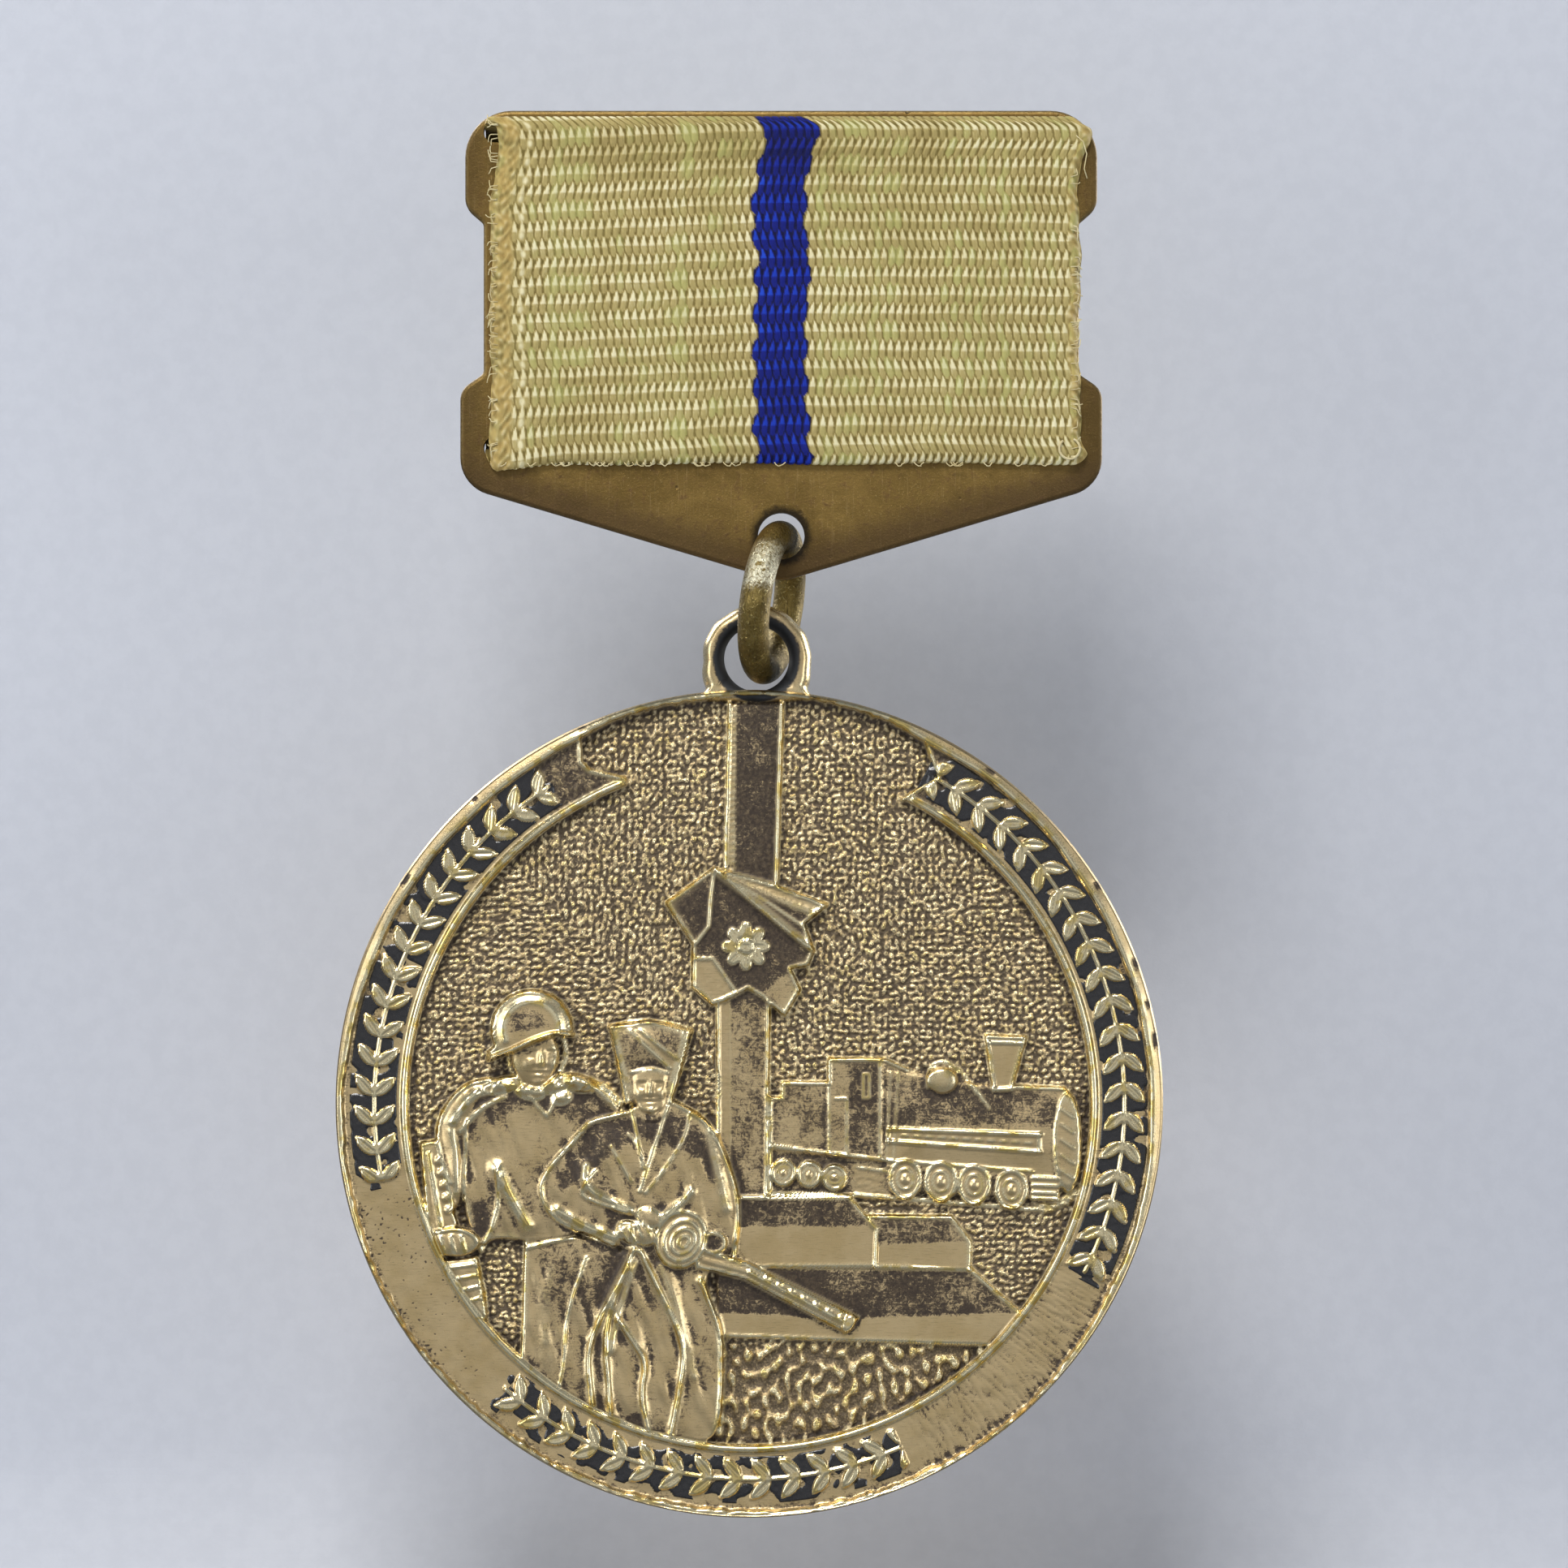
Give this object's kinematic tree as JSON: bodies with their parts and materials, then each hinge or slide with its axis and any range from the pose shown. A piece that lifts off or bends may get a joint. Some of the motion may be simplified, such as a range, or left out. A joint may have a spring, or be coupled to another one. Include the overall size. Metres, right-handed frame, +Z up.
{
  "type": "medal",
  "caption": "Commemorative medal: a pointed brooch bar covered with striped ribbon, a link ring and a round relief medallion hanging below, with a hinged pin behind.",
  "frame": {"origin": "middle of the brooch needle, on its axis, behind the upper part of the bar", "axes": "+Z up as the medal is worn, -Y the front face, +X the viewer's right and the way the needle points"},
  "size_m": [0.0336, 0.0071, 0.0571],
  "materials": {
    "bar_brass": "aged brown brass, worn bright at the edges",
    "ribbon_silk": "ribbed cream silk with one blue stripe",
    "finding_brass": "satin brass, slightly toned",
    "pin_steel": "drawn steel wire",
    "ring_brass": "olive-brown antique brass, rubbed bright in places",
    "gilt_brass": "pale gilt with dark patina in the hollows",
    "black_enamel": "fired black enamel, slightly worn"
  },
  "bodies": {
    "bar": {"bar_plate": "bar_brass", "ribbon": "ribbon_silk", "pin_base": "finding_brass", "hinge_rivet": "pin_steel", "catch_housing": "finding_brass"},
    "needle": {"pin_needle": "pin_steel"},
    "sleeve": {"catch_sleeve": "finding_brass"},
    "ring": {"link_ring": "ring_brass"},
    "pendant": {"medallion": "gilt_brass", "enamel_left": "black_enamel", "enamel_low": "black_enamel", "enamel_right": "black_enamel"}
  },
  "joints": [
    {"name": "pin_hinge", "type": "hinge", "parent": "bar", "child": "needle", "pos_m": [-0.0085, 0, 0], "axis": [0, 0, 1], "range_deg": [0, 110]},
    {"name": "catch_lock", "type": "hinge", "parent": "bar", "child": "sleeve", "pos_m": [0.0082, 0, 0], "axis": [1, 0, 0], "range_deg": [0, 100]},
    {"name": "ring_sway", "type": "hinge", "parent": "bar", "child": "ring", "pos_m": [0, -0.0024, -0.0113], "axis": [0, 1, 0], "range_deg": [-40, 40]},
    {"name": "pendant_tilt", "type": "hinge", "parent": "ring", "child": "pendant", "pos_m": [-0.00076, -0.0024, -0.01669], "axis": [1, 0, 0], "range_deg": [-15, 15]}
  ]
}
